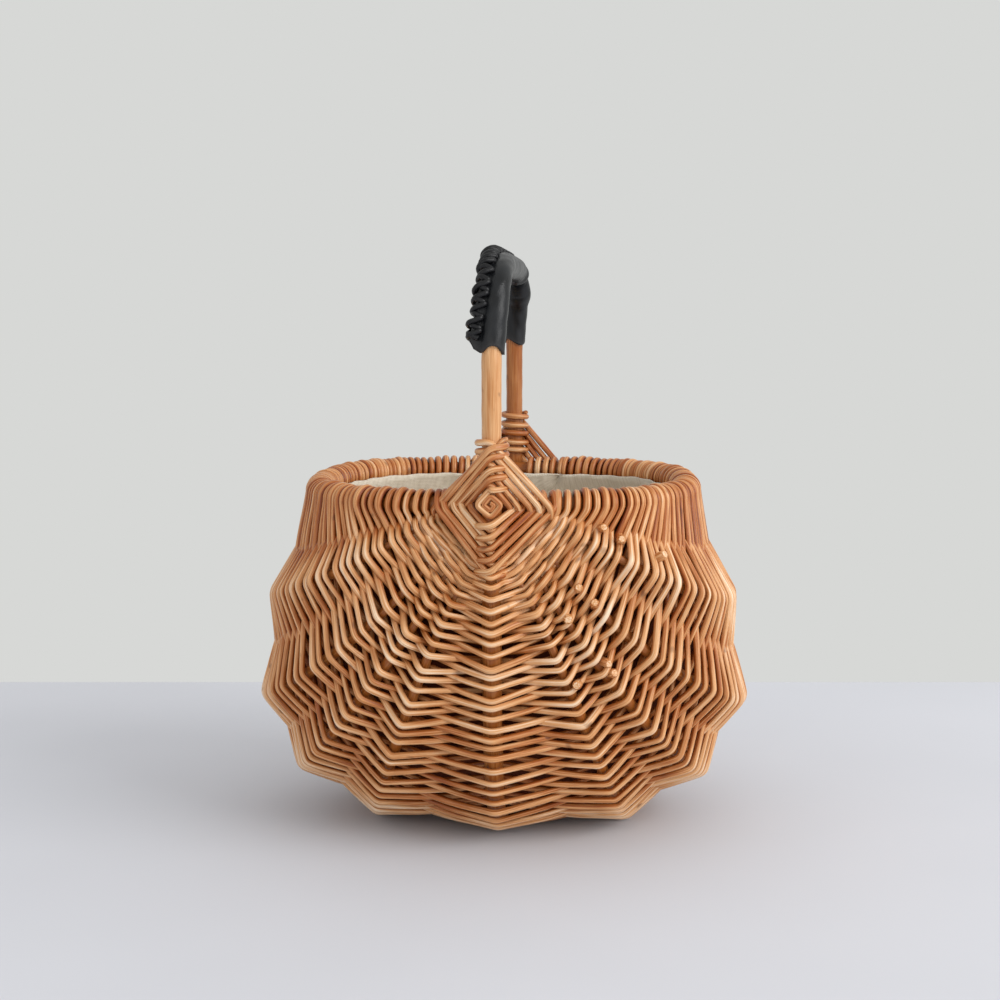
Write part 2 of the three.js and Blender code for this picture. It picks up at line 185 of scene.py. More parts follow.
def tube(line, radii, sides, start, endless=False, grain_from=0.0):
    """A round rod along a line: its points, its faces and the place of each point in the rod."""
    line = np.asarray(line, dtype=float)
    radii = np.broadcast_to(radii, len(line)).astype(float)
    ahead = np.roll(line, -1, axis=0) - np.roll(line, 1, axis=0)
    if not endless:
        ahead[0], ahead[-1] = line[1] - line[0], line[-1] - line[-2]
    ahead /= np.linalg.norm(ahead, axis=1)[:, None]
    across = np.empty_like(line)
    side = np.asarray(start, dtype=float)
    for i, direction in enumerate(ahead):
        side = side - direction * side.dot(direction)
        side = side / math.sqrt(side.dot(side))
        across[i] = side
    other = np.cross(ahead, across)
    turn = 2 * math.pi * np.arange(sides) / sides
    flat = radii[:, None, None] * np.stack([np.cos(turn), np.sin(turn)], axis=1)[None]
    points = line[:, None] + flat[..., :1] * across[:, None] + flat[..., 1:] * other[:, None]
    along = np.broadcast_to((lengths_along(line) + grain_from)[:, None, None], (len(line), sides, 1))
    grain = np.concatenate([flat, along], axis=2).reshape(-1, 3)
    ring = np.arange(len(line) if endless else len(line) - 1)[:, None]
    spot = np.arange(sides)[None]
    following, beside = (ring + 1) % len(line), (spot + 1) % sides
    quads = np.stack(
        [ring * sides + spot, ring * sides + beside, following * sides + beside, following * sides + spot],
        axis=2,
    )
    faces = quads.reshape(-1, 4).tolist()
    if not endless:
        last = (len(line) - 1) * sides
        faces.append(list(range(sides))[::-1])
        faces.append(list(range(last, last + sides)))
    return points.reshape(-1, 3), faces, grain


def make_piece(name, points, faces, materials, **marks):
    """A piece from points in millimetres. marks are values at its points that its materials read."""
    mesh = bpy.data.meshes.new(name)
    mesh.from_pydata((np.asarray(points) * MM).tolist(), [], faces)
    mesh.shade_smooth()
    for mark, values in marks.items():
        values = np.asarray(values, dtype=np.float32)
        flat = values.ndim == 1
        layer = mesh.attributes.new(mark, "FLOAT" if flat else "FLOAT_VECTOR", "POINT")
        layer.data.foreach_set("value" if flat else "vector", values.ravel())
    for material in materials:
        mesh.materials.append(material)
    piece = bpy.data.objects.new(name, mesh)
    bpy.context.collection.objects.link(piece)
    return piece


def blend(first, second, share):
    return first + (second - first) * share


def eased(share):
    """0 to 1 with a soft start and end."""
    share = np.clip(share, 0.0, 1.0)
    return share * share * (3 - 2 * share)


def uneven(length, size, waves):
    """A slow unevenness along a hand-made piece, from a few (wavelength, phase) sines."""
    return size * sum(np.sin(2 * math.pi * length / wave + phase) for wave, phase in waves) / len(waves)


def half_hoop(far_height, squareness, steps):
    """The upper or lower half of the hoop, from the front crossing to the rear one."""
    return rod_line(
        lambda c, s: (
            0.0,
            -HOOP_HALF_DEPTH * power(c, 2 / squareness),
            RIM_HEIGHT + (far_height - RIM_HEIGHT) * power(s, 2 / squareness),
        ),
        steps,
    )


keel_line = half_hoop(KEEL_HEIGHT, KEEL_SQUARENESS, 220)
arch_line = half_hoop(HOOP_TOP, ARCH_SQUARENESS, 180)
arch_line[:, 0] = HANDLE_LEAN * eased((arch_line[:, 2] - LEAN_FROM_HEIGHT) / LEAN_OVER)
# Thick peeled willow, scraped smooth and oiled: pale honey to brown, with long streaks and a satin shine
frame_willow = peeled_willow(
    "oiled_willow_rod", [(0.0, "#98551f"), (0.4, "#bd7f48"), (0.75, "#dcab79"), (1.0, "#eed3b0")]
)
hoop_line = np.concatenate([arch_line, keel_line[-2:0:-1]])
hoop_radii = HOOP_RADIUS + uneven(lengths_along(hoop_line), HOOP_UNEVEN, ((61, 0.4), (27, 1.9), (13, 0.7)))
points, faces, grain = tube(hoop_line, hoop_radii, HOOP_SIDES, X_AXIS, endless=True)
# The keel half is drawn dark brown as painted shade. Along the handle the tone runs from the pale front leg to
# the dark rear leg.
to_rear = np.clip((points[:, 1] + SHADE_CHANGES_OVER / 2) / SHADE_CHANGES_OVER, 0.0, 1.0)
shade = np.where(points[:, 2] < RIM_HEIGHT, KEEL_PAINTED_SHADE, blend(FRONT_LEG_SHADE, REAR_LEG_SHADE, to_rear))
handle_rod = make_piece("handle_rod", points, faces, [frame_willow], grain=grain, shade=shade)
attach(handle_rod, "root")
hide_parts("handle_hoop")

# Rim hoop
# A second willow rod bent into a level hoop inside the first. The weavers turn back over it all round,
# so it shows only as a line between their turns, drawn dark brown as painted shade.
RIM_HALF_WIDTH = 111.0
RIM_HALF_DEPTH = 105.15
RIM_SQUARENESS = 2.6
RIM_RADIUS = 5.0
RIM_SIDES = 16
RIM_ROD_PAINTED_SHADE = -0.15
Z_AXIS = np.array([0.0, 0.0, 1.0])


def rim_line(side):
    return rod_line(
        lambda c, s: (
            side * RIM_HALF_WIDTH * power(s, 2 / RIM_SQUARENESS),
            -RIM_HALF_DEPTH * power(c, 2 / RIM_SQUARENESS),
            RIM_HEIGHT,
        ),
        200,
    )


whole_rim = np.concatenate([rim_line(1), rim_line(-1)[-2:0:-1]])
points, faces, grain = tube(whole_rim, RIM_RADIUS, RIM_SIDES, Z_AXIS, endless=True)
# Painted shade: the rim rod is drawn dark brown where it shows between the turns
shade = np.full(len(points), RIM_ROD_PAINTED_SHADE)
rim_rod = make_piece("rim_rod", points, faces, [frame_willow], grain=grain, shade=shade)
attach(rim_rod, "root")
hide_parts("rim_hoop")

# Ribs
# Four willow rods on each side, whittled to points at both ends and pushed in behind the lashings.
# They bow out from lashing to lashing and give the basket its lobed outline.
EYE_REACH = 38.6
RIB_RADIUS = 3.4
RIB_TIP_RADIUS = 1.4
RIB_TAPER = 100.0
RIB_SIDES = 12
# The ribs show only in the gaps of the weave, so they are drawn dark brown all over as painted shade
RIB_PAINTED_SHADE = 0.02
KEEL_SIDE_TIP = 12.7
RIM_SIDE_TIP = 12.2
RIB_DROP = 2.6
RIB_TUCK = 11.0
RIB_SINK = 2.0
# From the keel up: reach from the middle, height, and how squarely the rib bows sideways and in depth
RIB_PLACES = (
    (76.0, 7.2, 3.2, 2.0),
    (120.5, 36.0, 2.3, 2.3),
    (142.0, 79.0, 2.0, 2.4),
    (135.0, 141.0, 2.6, 2.5),
)


def rib_line(order, side):
    reach, height, bow, depth = RIB_PLACES[order]
    share = order / (len(RIB_PLACES) - 1)
    tip_x = blend(KEEL_SIDE_TIP, EYE_REACH, share)
    tip_z = RIM_HEIGHT - blend(EYE_REACH, RIM_SIDE_TIP, share)
    tip_depth = blend(HOOP_HALF_DEPTH, RIM_HALF_DEPTH, (order + 1) / (len(RIB_PLACES) + 1))
    line = rod_line(
        lambda c, s: (
            side * (tip_x + (reach - tip_x) * power(s, 2 / bow)),
            -tip_depth * power(c, 2 / depth),
            tip_z + (height - tip_z) * power(s, 2 / RIB_DROP),
        ),
        150,
    )
    inwards = np.array([-side * tip_x, 0.0, RIM_HEIGHT - tip_z])
    tuck = RIB_TUCK * inwards / np.linalg.norm(inwards)
    sunk = np.array([0.0, RIB_SINK, 0.0])
    return np.concatenate([[line[0] + tuck + sunk], line, [line[-1] + tuck - sunk]])


def rib_radius(from_tip):
    return blend(RIB_TIP_RADIUS, RIB_RADIUS, np.minimum(from_tip / RIB_TAPER, 1.0))


for side_name, side in (("left", -1), ("right", 1)):
    for order in range(len(RIB_PLACES)):
        line = rib_line(order, side)
        known = lengths_along(line)
        radii = rib_radius(np.minimum(known, known[-1] - known))
        points, faces, grain = tube(line, radii, RIB_SIDES, Z_AXIS, grain_from=500.0 * (order + 5 * side))
        # Dark brown all over: painted shade in the gaps of the weave
        rib = make_piece(
            f"rib_rod_{side_name}_{order + 1}", points, faces, [frame_willow],
            grain=grain, shade=np.full(len(points), RIB_PAINTED_SHADE),
        )
        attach(rib, "root")
        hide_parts(f"rib_{side_name}_{order + 1}")

# Lashings
# At each crossing of the hoops one thin willow rod is curled in the middle, then carried from arm to arm,
# a full turn round each, until the strands form a diamond. It ends in a part turn round the handle.
STRAND_RADIUS = 1.93
STRAND_TIP = 1.0
STRAND_TAPER = 170.0
STRAND_UNEVEN = 0.12
STRAND_SIDES = 10
STRAND_SHADE = 0.42
STRAND_SHADE_UNEVEN = 0.16
# How much paler the crests of the rods are drawn, and the flanks darker: painted highlight and painted shade
PAINTED_CREST_LIGHT = 0.20
EYE_START = 8.6
EYE_TURN = 5.9
EYE_LOOPS = 5
EYE_LIFT = 2.9
EYE_LIFT_FADES = 3.2
EYE_RISE = 2.5
EYE_WANDER = 0.45
CURL_TURNS = 2
CURL_START = 1.0
CURL_GAP = 0.4
CURL_SIZE = 1.08
CURL_STANDS_OUT = 1.2
TURN_STEPS = 8
GUIDE_MM = 6.0
END_STEPS = 2
END_BACK = 0.9
END_PITCH = 2.1
# How far out the strands cross each arm: handle, right rim, keel, left rim
ARM_STRETCH = (0.98, 0.90, 1.06, 0.76)
# Where the first side of a long wound rod points: any way that the rod itself doesn't start
ANY_SIDE = (0.3, 0.8, 0.5)


def rounded(points):
    """Cuts the corners of a line of points (with further columns) twice, so that it bends like a rod."""
    for _ in range(2):
        before, after = points[:-1], points[1:]
        cut = np.empty((2 * len(before), points.shape[1]))
        cut[0::2] = 0.75 * before + 0.25 * after
        cut[1::2] = 0.25 * before + 0.75 * after
        points = np.concatenate([points[:1], cut, points[-1:]])
    return points


def unit(vector):
    return vector / np.linalg.norm(vector)


def lashing_line(face):
    """The strand's way, wound clockwise as seen from outside at the front."""
    outward = np.array([0.0, face, 0.0])

    def from_face(line):
        return line if face < 0 else line[::-1]

    arms = (
        (from_face(arch_line), X_AXIS, HOOP_RADIUS),
        (from_face(rim_line(1)), -Z_AXIS, RIM_RADIUS),
        (from_face(keel_line), -X_AXIS, HOOP_RADIUS),
        (from_face(rim_line(-1)), Z_AXIS, RIM_RADIUS),
    )
    raised = (EYE_RISE, 0.0, -EYE_RISE, 0.0)
    swell = 1 / math.cos(math.pi / TURN_STEPS)

    def on_arm(arm, place, turn, lift):
        line, travel, radius = arms[arm]
        here = point_at(line, place)
        along = unit(point_at(line, place + 1.0) - point_at(line, max(place - 1.0, 0.0)))
        out = unit(outward - along * along.dot(outward))
        reach = (radius + STRAND_RADIUS) * swell + lift
        return here + reach * (math.cos(turn) * out + math.sin(turn) * travel)

    way = []
    curl_steps = CURL_TURNS * TURN_STEPS
    depth = HOOP_HALF_DEPTH + HOOP_RADIUS + STRAND_RADIUS + CURL_STANDS_OUT
    for step in range(curl_steps + 1):
        turn = 2 * math.pi * (step - curl_steps) / TURN_STEPS
        place = blend(CURL_START, EYE_START - CURL_GAP, step / curl_steps)
        place *= CURL_SIZE / (abs(math.sin(turn)) + abs(math.cos(turn)))
        height = RIM_HEIGHT + EYE_RISE + place * math.cos(turn)
        way.append(np.array([place * math.sin(turn), face * depth, height]))
    for crossing in range(4 * EYE_LOOPS):
        arm = crossing % 4
        place = EYE_START + crossing / 4 * EYE_TURN * ARM_STRETCH[arm]
        place += EYE_WANDER * math.sin(2.3 * crossing + face) + raised[arm]
        wrap = []
        for step in range(TURN_STEPS + 1):
            share = step / TURN_STEPS
            lift = EYE_LIFT * max(0.0, 1.0 - EYE_LIFT_FADES * share)
            wrap.append(on_arm(arm, place + share * EYE_TURN / 2, 2 * math.pi * share, lift))
        if crossing:
            near, far = way[-1], wrap[0]
            guide = GUIDE_MM / np.linalg.norm(far - near)
            way += [blend(near, far, guide), blend(near, far, 0.5), blend(near, far, 1 - guide)]
        way += wrap
    for step in range(1, END_STEPS + 1):
        share = step / TURN_STEPS
        place = EYE_START + EYE_RISE + EYE_LOOPS * EYE_TURN + (share - END_BACK) * END_PITCH * STRAND_RADIUS
        way.append(on_arm(0, place, 2 * math.pi * share, 0.0))
    return rounded(np.array(way))


# Thin peeled willow, wound wet: warm brown. Painted highlight makes the crests paler and painted shade the
# flanks darker, which part the strands to the eye
lashing_willow = peeled_willow(
    "soaked_willow_lashing",
    [(0.0, "#581e05"), (0.25, "#8a4012"), (0.45, "#ae6531"), (0.7, "#d8a470"), (1.0, "#f2dec0")],
)
for face_name, face in (("front", -1), ("rear", 1)):
    line = lashing_line(face)
    known = lengths_along(line)
    grown = np.minimum(0.5 + known / STRAND_TAPER, 0.3 + (known[-1] - known) / STRAND_TAPER)
    radii = blend(STRAND_TIP, STRAND_RADIUS, np.minimum(grown, 1.0))
    radii = radii + uneven(known, STRAND_UNEVEN, ((83, 0.2), (37, 1.1), (19, 2.7)))
    points, faces, grain = tube(line, radii, STRAND_SIDES, ANY_SIDE, grain_from=900.0 * face)
    # Painted highlight on each strand's crest and painted shade on its flanks, on both faces of the lashing
    facing = np.abs(points[:, 1] - np.repeat(line[:, 1], STRAND_SIDES)) / np.repeat(radii, STRAND_SIDES)
    shade = STRAND_SHADE + PAINTED_CREST_LIGHT * facing
    shade = shade + uneven(grain[:, 2], STRAND_SHADE_UNEVEN, ((420, 0.3), (170, 2.0)))
    lashing = make_piece(
        f"lashing_strand_{face_name}", points, faces, [lashing_willow], grain=grain, shade=shade
    )
    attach(lashing, "root")
    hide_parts(f"lashing_{face_name}")

# Weave
# Thin whole willow rods, soaked and woven over and under keel and ribs, row after row from rim to rim.
# At each rim the rod turns over it and comes back as the next row. Beside the lashings all rows lie on top.
WEAVE_PIECES = 7
CAD_WEAVERS = 37
WEAVE_SIDES = 10
# The rows, and how they are spread along the keel, the ribs and the rim
ROWS = 128
RIB_START = 1.5
KEEL_MARGIN = -4.0
RIM_MARGIN = {-1: -9.0, 1: -5.0}
LOOSER_AT_SIDES = 0.17
LOOSER_ON_RIM = 0.15
RIM_SPREAD = 0.032
KEEL_RISE, KEEL_RISE_AT, KEEL_RISE_OVER = 0.028, 0.28, 0.12
STRAY, MOST_STRAY, STRAY_ON_RIM, STRAY_AT_EYE = 0.27, 0.5, 0.3, 0.5
# The rods, and how they bend over and under
SHORTEST_ROD = 700.0
LONGEST_ROD = 1300.0
BUTT_RADIUS = 2.1
BUTTS_VARY = (0.85, 1.12)
TIP_RADIUS = 1.58
SEAT_GAP = 0.15
MOST_LIFT = 1.3
ON_TOP_FOR = 0.11
UNDER_AT_EYE = 0.4
BEND_MM = 4.6
BEND_SHARE = 0.26
BOW = 0.016
KEEL_BOW, KEEL_BOW_FROM, KEEL_BOW_OVER = 0.05, 0.22, 0.2
WANDER_MM = 0.35
STANDS_OFF_MM = (0.1, 0.5)
RIM_WIDENING = 1.18
RIM_TURN = (-38, 218)
RIM_TURN_STEPS = 7
RIM_TURN_LONG = 24.0
# Their shade: each rod's own tone, and on it painted highlight on crests and where rods lie on top, and
# painted shade on flanks, where rods pass under, beside the lashings and round the rim
ROD_SHADE, ROD_SHADE_SPREAD, ROD_SHADE_RANGE = 0.46, 0.075, (0.25, 0.7)
PAINTED_OVER_UNDER_LIGHT = 0.15
SHOULDER_PAINTED_SHARE = 0.7
PAINTED_LIGHT_BESIDE_EYE = -0.3
RIM_PAINTED_SHADE = -0.42
RIM_PAINTED_CREST_LIGHT = 0.58
chance = np.random.default_rng(5448)


def woven_stretch(line, start, radius):
    """A rod that the rows cross, with the stretch of it that is woven."""
    return {"line": line, "known": lengths_along(line), "start": start, "radius": radius}


def stakes_of(side):
    ribs = [
        woven_stretch(rib_line(order, side), RIB_START, rib_radius) for order in range(len(RIB_PLACES))
    ]
    return ribs + [woven_stretch(rim_line(side), EYE_REACH + RIM_MARGIN[side], lambda _: RIM_RADIUS)]


stakes = [
    *stakes_of(-1)[::-1],
    woven_stretch(keel_line, EYE_REACH + KEEL_MARGIN, lambda _: HOOP_RADIUS),
    *stakes_of(1),
]
LAST = len(stakes) - 1
KEEL = LAST // 2
INSIDE = np.array([0.0, 0.0, (RIM_HEIGHT + KEEL_HEIGHT) / 2])


def on_stake(stake, share):
    known = stake["known"]
    along = stake["start"] + share * (known[-1] - 2 * stake["start"])
    return np.array([np.interp(along, known, stake["line"][:, axis]) for axis in range(3)])


def crossings(shares):
    """Where a row crosses the stakes: centres, directions outwards and along each stake, and radii."""
    near = 0.01
    centres = np.array([on_stake(stake, share) for stake, share in zip(stakes, shares)])
    ahead = np.array([on_stake(stake, min(share + near, 1.0)) for stake, share in zip(stakes, shares)])
    behind = np.array([on_stake(stake, max(share - near, 0.0)) for stake, share in zip(stakes, shares)])
    along = (ahead - behind) / np.linalg.norm(ahead - behind, axis=1)[:, None]
    number = np.arange(LAST + 1)
    across = centres[np.minimum(number + 1, LAST)] - centres[np.maximum(number - 1, 0)]
    out = np.cross(across, along)
    out /= np.linalg.norm(out, axis=1)[:, None]
    out *= np.sign(np.einsum("ij,ij->i", out, centres - INSIDE))[:, None]
    # Leans the directions outwards along their stakes until neighbouring ones agree
    for _ in range(12):
        for i in range(1, LAST):
            lean = 0.0
            for beside in (i - 1, i + 1):
                between = unit(along[beside] + along[i])
                lean += (out[beside] - out[i]).dot(between) / 2
            out[i] = unit(out[i] + lean * along[i])
    radii = []
    for stake, share in zip(stakes, shares):
        length = stake["known"][-1]
        at = stake["start"] + share * (length - 2 * stake["start"])
        radii.append(float(stake["radius"](min(at, length - at))))
    return centres, out, along, np.array(radii)


def side_of(i, row):
    return 1 if (i + row) % 2 == 0 else -1


def stand_offs(centres, out, along, seats, row):
    """How far a row's rod stands from each stake's centre so that its straight spans clear the stake."""
    offs = seats.copy()
    sides = np.array([side_of(i, row) for i in range(LAST + 1)])
    for _ in range(6):
        for i in range(1, LAST):
            here = centres[i] + out[i] * sides[i] * offs[i]
            clear = []
            for beside in (i - 1, i + 1):
                there = centres[beside] + out[beside] * sides[beside] * offs[beside]
                between = unit(np.cross(there - here, along[i]))
                clear.append(abs(between.dot(out[i])) * offs[i])
            offs[i] = min(offs[i] * max(seats[i] / min(clear), 1.0), MOST_LIFT * seats[i])
    return offs


rows = []
for row in range(ROWS):
    stray = np.clip(chance.normal(0.0, STRAY, LAST + 1), -MOST_STRAY, MOST_STRAY)
    stray[[0, LAST]] *= STRAY_ON_RIM
    round_bag = 2 * math.pi * (row + 0.5) / ROWS
    stray *= blend(STRAY_AT_EYE, 1.0, eased((1 - math.cos(round_bag)) / 0.3))
    looser = np.full(LAST + 1, LOOSER_AT_SIDES)
    looser[[0, LAST]] = LOOSER_ON_RIM
    shares = (row + 0.5 + stray) / ROWS - looser * math.sin(round_bag) / (2 * math.pi)
    from_eye = min(shares[KEEL], 1 - shares[KEEL])
    rise = KEEL_RISE * math.exp(-(((from_eye - KEEL_RISE_AT) / KEEL_RISE_OVER) ** 2))
    shares[KEEL] -= rise if shares[KEEL] < 0.5 else -rise
    for rim in (0, LAST):
        from_eye = min(shares[rim], 1 - shares[rim])
        spread = RIM_SPREAD * math.sin(4 * math.pi * from_eye) if from_eye < 0.25 else 0.0
        shares[rim] += spread if shares[rim] < 0.5 else -spread
    rows.append((*crossings(shares), shares))

weave_rod = {}


def next_rod():
    """A new rod of the weave: its length, shade and thickness, butt end or tip end first."""
    weave_rod["long"] = chance.uniform(SHORTEST_ROD, LONGEST_ROD)
    weave_rod["left"] = weave_rod["long"]
    weave_rod["shade"] = float(np.clip(chance.normal(ROD_SHADE, ROD_SHADE_SPREAD), *ROD_SHADE_RANGE))
    weave_rod["butt"] = BUTT_RADIUS * chance.uniform(*BUTTS_VARY)
    weave_rod["turned"] = chance.random() < 0.5


def rod_radius():
    share = max(weave_rod["left"], 0.0) / weave_rod["long"]
    return blend(TIP_RADIUS, weave_rod["butt"], 1 - share if weave_rod["turned"] else share)


def rod_point(place, outwards, painted_light=0.0, painted_crest=PAINTED_CREST_LIGHT, widening=1.0):
    """A control point of the weave: place, radius, shade (own tone plus painted light), the way outwards and
    how strong the painted highlight on the crest is.
    """
    return (*place, widening * rod_radius(), weave_rod["shade"] + painted_light, *outwards, painted_crest)


def row_way(row):
    """One row's control points in the way that it is woven."""
    centres, out, along, radii, shares = rows[row]
    order = list(range(LAST + 1))[::1 if row % 2 == 0 else -1]
    seats = radii + blend(TIP_RADIUS, BUTT_RADIUS, 0.6) + SEAT_GAP
    offs = stand_offs(centres, out, along, seats, row)
    over = np.array([side_of(i, row) for i in range(LAST + 1)], dtype=float)
    from_eye = np.minimum(shares, 1 - shares)
    away = eased(from_eye / ON_TOP_FOR)
    over = np.where(over < 0, blend(UNDER_AT_EYE, -1.0, away), over)
    apex = centres + out * (over * offs)[:, None]
    # Painted light on each rod: paler where it lies on top of a stake and darker where it passes under, turned
    # to painted shade beside the lashings
    painted_light = PAINTED_OVER_UNDER_LIGHT * over * blend(PAINTED_LIGHT_BESIDE_EYE, 1.0, away)
    way = []
    for before, i, after in zip(order[:-2], order[1:-1], order[2:]):
        for beside, first in ((before, True), (after, False)):
            toward = unit(apex[beside] - apex[i])
            span = np.linalg.norm(apex[beside] - apex[i])
            reach = min(BEND_MM, BEND_SHARE * span)
            shoulder = apex[i] + reach * (toward - 0.5 * toward.dot(out[i]) * out[i])
            if first:
                by_keel = eased((from_eye[i] - KEEL_BOW_FROM) / KEEL_BOW_OVER) if KEEL in (before, i) else 0.0
                bowed = blend(BOW, KEEL_BOW, by_keel) * span * unit(out[before] + out[i])
                middle = (apex[before] + apex[i]) / 2 + bowed + chance.normal(0.0, WANDER_MM, 3)
                way.append(rod_point(middle, out[before] + out[i]))
            way.append(rod_point(shoulder, out[i], SHOULDER_PAINTED_SHARE * painted_light[i]))
            if first:
                lifted = apex[i] + out[i] * over[i] * chance.uniform(*STANDS_OFF_MM)
                way.append(rod_point(lifted, out[i], painted_light[i]))
        weave_rod["left"] -= np.linalg.norm(apex[i] - apex[before])
        if weave_rod["left"] < 0 and side_of(i, row) < 0:
            next_rod()
    return way


def turn_way(row):
    """The turn round a rim from one row to the next. The real rod flattens there; it is drawn round and wider.
    """
    end = LAST if row % 2 == 0 else 0
    inner = end - 1 if row % 2 == 0 else end + 1
    here, there = rows[row], rows[row + 1]
    first, last = np.radians(RIM_TURN)
    way = []
    for step in range(RIM_TURN_STEPS + 1):
        share = step / RIM_TURN_STEPS
        turn = blend(first, last, share)
        centre = blend(here[0][end], there[0][end], share)
        out = side_of(end, row) * unit(blend(here[1][end], there[1][end], share))
        up = unit(np.cross(out, here[2][end]))
        if up.dot(here[0][inner] - centre) > 0:
            up = -up
        reach = (here[3][end] + rod_radius() + SEAT_GAP) / math.cos((last - first) / RIM_TURN_STEPS / 2)
        outwards = math.cos(turn) * out + math.sin(turn) * up
        # Round the rim the turns are drawn darker, with a stronger painted highlight on their crests and
        # painted shade on their flanks
        way.append(rod_point(centre + reach * outwards, outwards, RIM_PAINTED_SHADE, RIM_PAINTED_CREST_LIGHT, RIM_WIDENING))
    weave_rod["left"] -= RIM_TURN_LONG
    return way


# Thin peeled willow, soaked and woven, satin. Its colours run from red-brown to straw: the rods' own tones lie
# in the middle, and the ends are reached mostly through painted shade in the depth of the weave and painted
# highlight on the crests
weave_willow = peeled_willow(
    "soaked_willow_weaver",
    [(0.0, "#561f06"), (0.25, "#8c4316"), (0.45, "#ae652e"), (0.7, "#d9a06a"), (1.0, "#f2d8ba")],
)
next_rod()
bounds_of_pieces = [round(piece * CAD_WEAVERS / WEAVE_PIECES) for piece in range(WEAVE_PIECES + 1)]
first_row = 0
for piece in range(WEAVE_PIECES):
    low, high = bounds_of_pieces[piece:piece + 2]
    last_row = round(high / CAD_WEAVERS * ROWS) - 1
    last_row -= last_row % 2 if high < CAD_WEAVERS else 0
    way = []
    for row in range(first_row, last_row + 1):
        way += row_way(row)
        if row < ROWS - 1:
            way += turn_way(row)
    first_row = last_row + 1
    smooth = rounded(np.array(way))
    line, radii, outwards = smooth[:, :3], smooth[:, 3], smooth[:, 5:8]
    line[:, 2] = np.maximum(line[:, 2], radii + 0.1)
    points, faces, grain = tube(line, radii, WEAVE_SIDES, ANY_SIDE, grain_from=9000.0 * piece)
    outwards = outwards / np.linalg.norm(outwards, axis=1)[:, None]
    # Painted highlight on each rod's crest, where its skin faces outwards, and painted shade on its flanks
    skin_way = (points.reshape(-1, WEAVE_SIDES, 3) - line[:, None]) / radii[:, None, None]
    shade = smooth[:, 4, None] + smooth[:, 8, None] * np.einsum("ijk,ik->ij", skin_way, outwards)
    weave = make_piece(
        f"weave_{piece + 1}", points, faces, [weave_willow], grain=grain, shade=shade.ravel()
    )
    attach(weave, "root")
    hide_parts(*(f"weaver_{number + 1:02d}" for number in range(low, high)))

# Cut rod ends
# Where one weaving rod runs out and the next is laid in, the old end is snipped off just outside the weave.
# Each end is a short stub of the same willow with a paler cut face.
END_SIDES = 12
END_RADII = (2.4, 2.8)
END_LENGTHS = (9.6, 11.0)
END_PROFILE = ((0.0, 1.0), (0.35, 1.0), (0.7, 1.02), (0.93, 0.95), (1.0, 0.7))
END_TILT, END_TURNED_UP = 0.3, 0.25
END_SHADE = 0.56
CUT_SHADE = 0.74
# The stake, counted from the left rim to the right rim, and the share of the way from front to rear
END_PLACES = (
    (9.45, 0.090), (9.30, 0.125), (9.20, 0.185), (7.95, 0.090), (8.00, 0.120), (7.10, 0.100), (7.10, 0.165),
    (7.05, 0.185), (6.30, 0.170), (1.20, 0.640), (1.80, 0.700), (2.90, 0.790), (3.70, 0.840), (8.20, 0.870),
    (8.90, 0.740), (7.10, 0.800), (6.30, 0.890),
)


def join(parts):
    """Several (points, faces, grain) bodies as one."""
    faces, base = [], 0
    for points, own_faces, _ in parts:
        faces += [[corner + base for corner in face] for face in own_faces]
        base += len(points)
    return np.concatenate([part[0] for part in parts]), faces, np.concatenate([part[2] for part in parts])


stubs, stub_shades = [], []
for number, (place, share) in enumerate(END_PLACES):
    centres, out, along, _ = crossings(np.full(LAST + 1, share))
    low = int(place)
    outwards = unit(blend(out[low], out[low + 1], place - low))
    tilt = unit(outwards + END_TILT * unit(chance.normal(0, 1, 3)) + END_TURNED_UP * Z_AXIS)
    base = blend(centres[low], centres[low + 1], place - low)
    radius = chance.uniform(*END_RADII)
    long = chance.uniform(*END_LENGTHS)
    line = np.array([base + tilt * long * step for step, _ in END_PROFILE])
    radii = radius * np.array([thick for _, thick in END_PROFILE])
    points, faces, grain = tube(line, radii, END_SIDES, unit(along[low] + 0.2), grain_from=77.0 * number)
    faces[-1] = list(range(len(points), len(points) + END_SIDES))
    stub_shades += [END_SHADE] * len(points) + [CUT_SHADE] * END_SIDES
    points = np.concatenate([points, points[-END_SIDES:]])
    grain = np.concatenate([grain, grain[-END_SIDES:]])
    stubs.append((points, faces, grain))
points, faces, grain = join(stubs)
rod_ends = make_piece("cut_rod_ends", points, faces, [weave_willow], grain=grain, shade=stub_shades)
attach(rod_ends, "root")

# Lining
# A bag of greige linen, sewn to follow the inside of the weave and caught to it under the rim,
# with a turned hem that puckers a little. Its outer face is drawn dark brown as painted shade for the gaps of
# the weave.
WEAVERS_THICK = 2.0
LINING_GAP = 3.4
LINING_INSET_RIM = 10.2
LINING_END_GAP = 0.8
TOP_DROP = 1.5
CLOTH_HALF = 0.45
CLOTH_ROWS = 60
CLOTH_COLUMNS = 96
END_ROWS = 12
CLOTH_PROUD = 0.75
PUCKER, PUCKER_DOWN_TO = 0.55, 0.22
SLACK = 0.3
THREAD_MM = 1.15
SLUB_MM = 4.545
GAP_SHADE_SLUB_MM = 2.0


def smooth_through(values, places, known):
    """Smooth curve through points (a cubic with the slopes of its neighbours)."""
    slopes = np.gradient(values, known, axis=0)
    spot = np.clip(np.searchsorted(known, places, side="right") - 1, 0, len(known) - 2)
    span = (known[spot + 1] - known[spot])[:, None]
    share = ((places - known[spot]) / (known[spot + 1] - known[spot]))[:, None]
    a, b = values[spot], values[spot + 1]
    da, db = slopes[spot] * span, slopes[spot + 1] * span
    return (
        (2 * share**3 - 3 * share**2 + 1) * a + (share**3 - 2 * share**2 + share) * da
        + (3 * share**2 - 2 * share**3) * b + (share**3 - share**2) * db
    )


